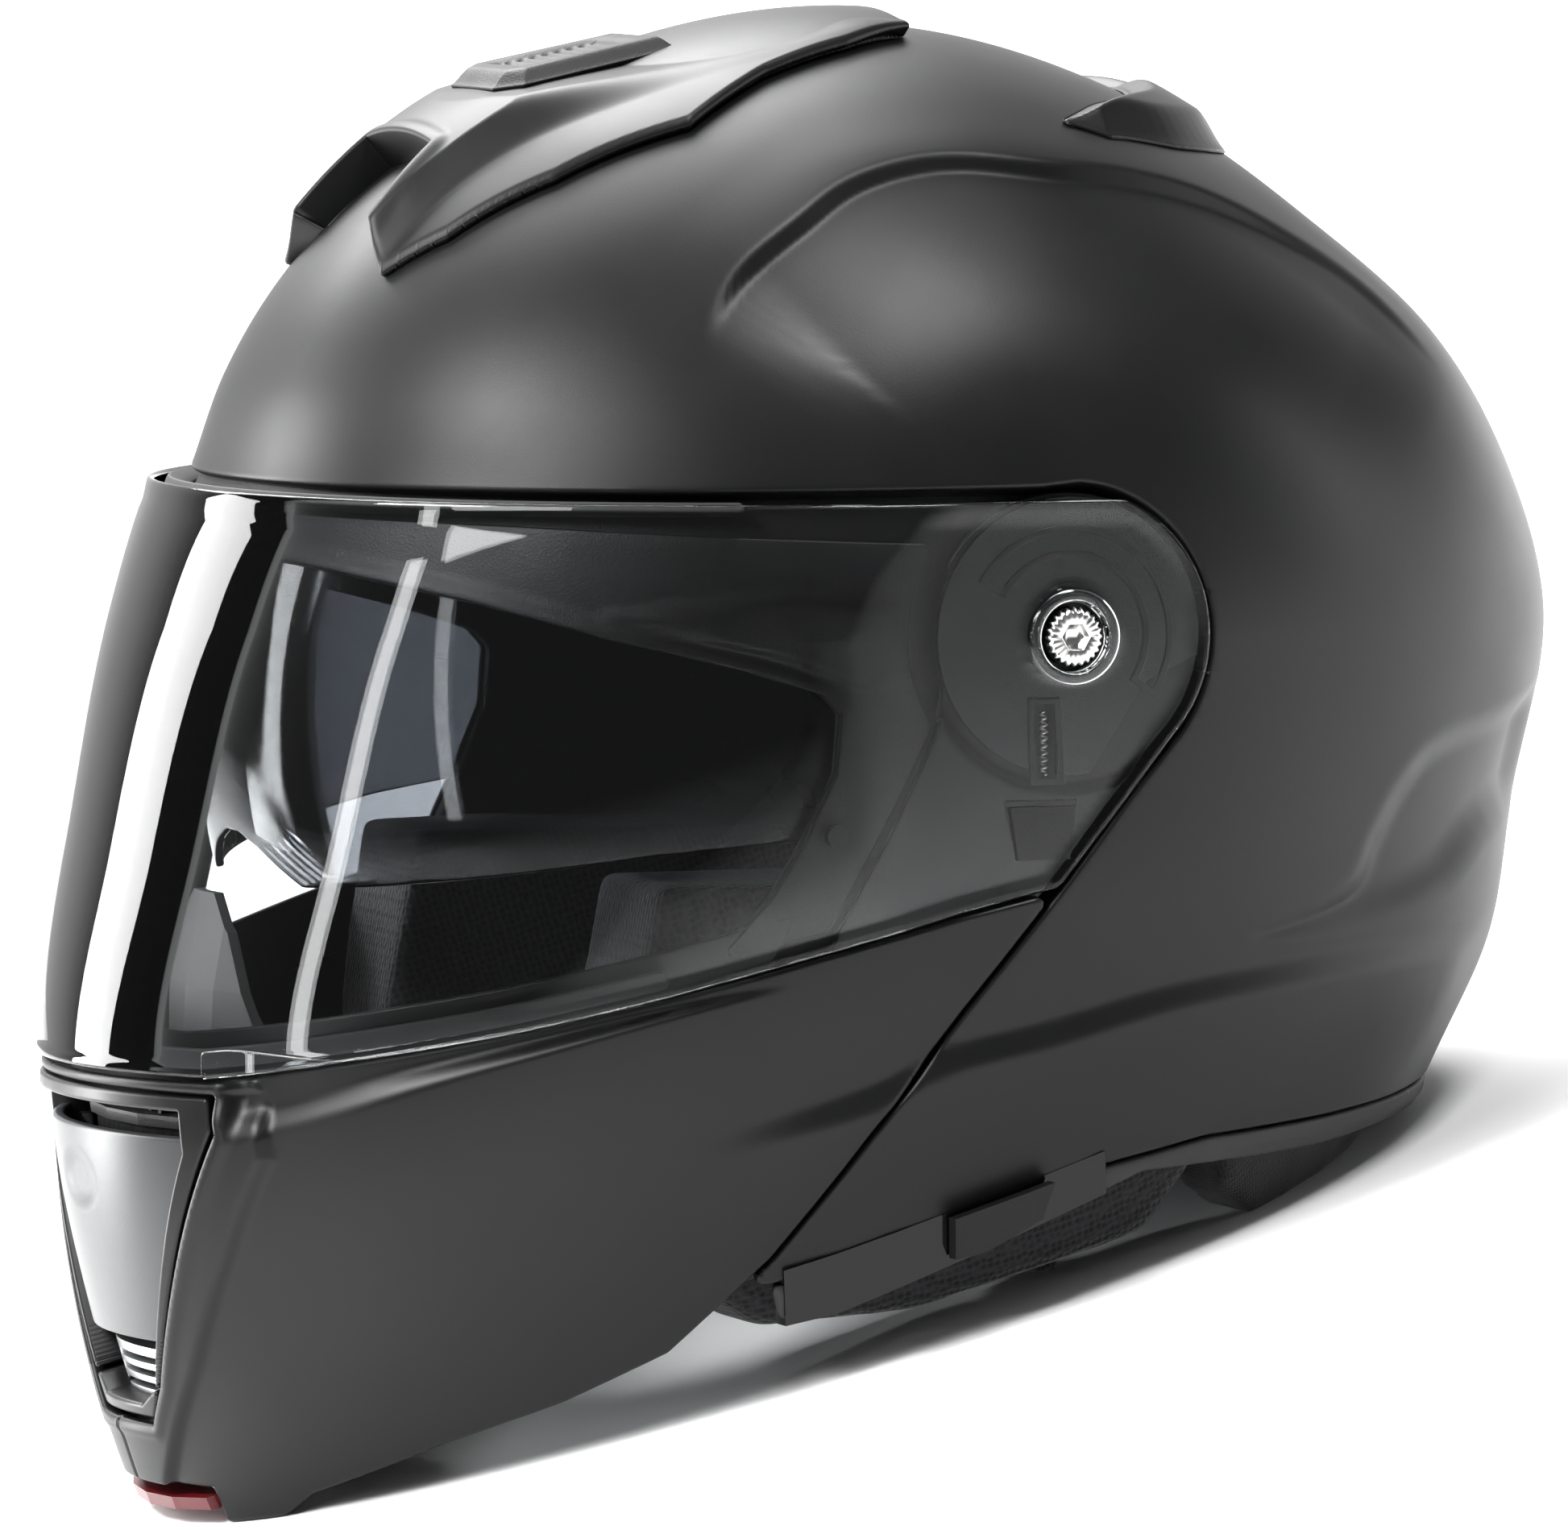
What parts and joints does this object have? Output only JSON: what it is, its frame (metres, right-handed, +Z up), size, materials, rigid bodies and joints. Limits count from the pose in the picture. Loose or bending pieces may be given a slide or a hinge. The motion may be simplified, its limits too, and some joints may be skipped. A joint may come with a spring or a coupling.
{
  "type": "flip-up motorcycle helmet",
  "caption": "Matte black modular helmet: shell with liner, flip-up chin bar, clear visor, drop-down sun visor, vents and chin strap.",
  "frame": {"origin": "centre of the footprint box, on the surface it stands on", "axes": "+X the wearer's left, -Y the way the helmet faces, +Z up; the helmet rests on its chin and neck roll, tipped 17 degrees back from how it is worn"},
  "size_m": [0.26, 0.3644, 0.2815],
  "materials": {
    "matte_black_shell": "satin matte lacquer with a fine grain",
    "black_plastic": "moulded, finely grained",
    "gloss_black": "polished",
    "rubber": "soft matt rubber",
    "fabric": "mesh and brushed fabric over foam",
    "webbing": "woven webbing",
    "foam": "expanded bead foam",
    "steel": "turned and polished",
    "silver": "satin silver",
    "red": "satin red",
    "clear_lens": "clear polished polycarbonate",
    "smoked_lens": "smoked polished polycarbonate"
  },
  "bodies": {
    "shell": {"outer_shell": "matte_black_shell", "lower_trim": "rubber", "eyeport_frame": "black_plastic", "brow_seal": "rubber", "eps_liner": "foam", "crown_pad": "fabric", "cheek_pad_left": "fabric", "cheek_pad_right": "fabric", "neck_roll": "fabric", "top_vent_cover": "matte_black_shell", "rear_vent_spoiler": "matte_black_shell", "pivot_bolt_left": "steel", "pivot_bolt_right": "steel", "striker_pin_left": "steel", "striker_pin_right": "steel", "sun_visor_pivot_left": "black_plastic", "sun_visor_pivot_right": "black_plastic", "slider_rail": "gloss_black", "chin_strap_left": "webbing", "chin_strap_right": "webbing", "strap_anchor_left": "steel", "strap_anchor_right": "steel", "buckle_body": "steel"},
    "chin_bar": {"chin_bar_shell": "matte_black_shell", "chin_bar_eps": "foam", "chin_bar_inner_cover": "black_plastic", "breath_deflector": "rubber", "chin_curtain": "fabric", "chin_vent_frame": "black_plastic", "chin_vent_grille": "silver", "chin_trim_left": "black_plastic", "chin_trim_right": "black_plastic", "lower_visor_seal": "rubber", "arm_left": "black_plastic", "arm_right": "black_plastic", "visor_base_left": "black_plastic", "visor_base_right": "black_plastic", "latch_spring_left": "steel", "latch_spring_right": "steel"},
    "visor": {"visor_lens": "clear_lens", "pinlock_pin_left": "black_plastic", "pinlock_pin_right": "black_plastic"},
    "visor_latch_left": {"visor_latch_left": "black_plastic"},
    "visor_latch_right": {"visor_latch_right": "black_plastic"},
    "lock_pawl_left": {"lock_pawl_left": "steel"},
    "lock_pawl_right": {"lock_pawl_right": "steel"},
    "release_lever": {"release_lever": "red"},
    "chin_vent_cover": {"chin_vent_cover": "matte_black_shell"},
    "sun_visor": {"sun_visor": "smoked_lens"},
    "sun_visor_slider": {"sun_visor_slider": "black_plastic"},
    "top_vent_slider": {"top_vent_slider": "matte_black_shell"},
    "buckle_lever": {"buckle_lever": "steel"}
  },
  "joints": [
    {"name": "chin_bar_lift", "type": "hinge", "parent": "shell", "child": "chin_bar", "pos_m": [0, 0.03526, 0.14124], "axis": [-1, 0, 0], "range_deg": [0, 72]},
    {"name": "visor_lift", "type": "hinge", "parent": "chin_bar", "child": "visor", "pos_m": [0, 0.03526, 0.14124], "axis": [-1, 0, 0], "range_deg": [0, 50]},
    {"name": "visor_latch_left_press", "type": "slide", "parent": "chin_bar", "child": "visor_latch_left", "axis": [0, -0.4144, -0.9101], "range_m": [0, 0.003], "stiffness_N_per_m": 300},
    {"name": "visor_latch_right_press", "type": "slide", "parent": "chin_bar", "child": "visor_latch_right", "axis": [0, -0.4144, -0.9101], "range_m": [0, 0.003], "stiffness_N_per_m": 300},
    {"name": "release_lever_pull", "type": "hinge", "parent": "chin_bar", "child": "release_lever", "pos_m": [0, -0.16139, 0.00425], "axis": [1, 0, 0], "range_deg": [0, 10], "stiffness_Nm_per_rad": 1, "springref_deg": -5.73},
    {"name": "lock_pawl_left_turn", "type": "hinge", "parent": "chin_bar", "child": "lock_pawl_left", "pos_m": [0.106, -0.07402, 0.07113], "axis": [1, 0, 0], "range_deg": [0, 10]},
    {"name": "lock_pawl_right_turn", "type": "hinge", "parent": "chin_bar", "child": "lock_pawl_right", "pos_m": [-0.106, -0.07402, 0.07113], "axis": [1, 0, 0], "range_deg": [0, 10]},
    {"name": "chin_vent_slide", "type": "slide", "parent": "chin_bar", "child": "chin_vent_cover", "axis": [0, 0.0992, 0.9951], "range_m": [0, 0.006]},
    {"name": "sun_visor_drop", "type": "hinge", "parent": "shell", "child": "sun_visor", "pos_m": [0, 0.02941, 0.12211], "axis": [-1, 0, 0], "range_deg": [0, 30]},
    {"name": "sun_visor_slide", "type": "slide", "parent": "shell", "child": "sun_visor_slider", "axis": [0.115, 0.9925, 0.0416], "range_m": [0, 0.016]},
    {"name": "top_vent_slide", "type": "slide", "parent": "shell", "child": "top_vent_slider", "axis": [0, 0.996, -0.0896], "range_m": [0, 0.01]},
    {"name": "buckle_lever_lift", "type": "hinge", "parent": "shell", "child": "buckle_lever", "pos_m": [0.0556, 0.00947, 0.05689], "axis": [0, -0.9563, 0.2924], "range_deg": [0, 40], "stiffness_Nm_per_rad": 0.5, "springref_deg": -5.73}
  ],
  "couplings": [
    {"joint": "lock_pawl_left_turn", "follows": "release_lever_pull", "ratio": 1},
    {"joint": "lock_pawl_right_turn", "follows": "release_lever_pull", "ratio": 1},
    {"joint": "sun_visor_slide", "follows": "sun_visor_drop", "m_per_rad": 0.030558}
  ]
}
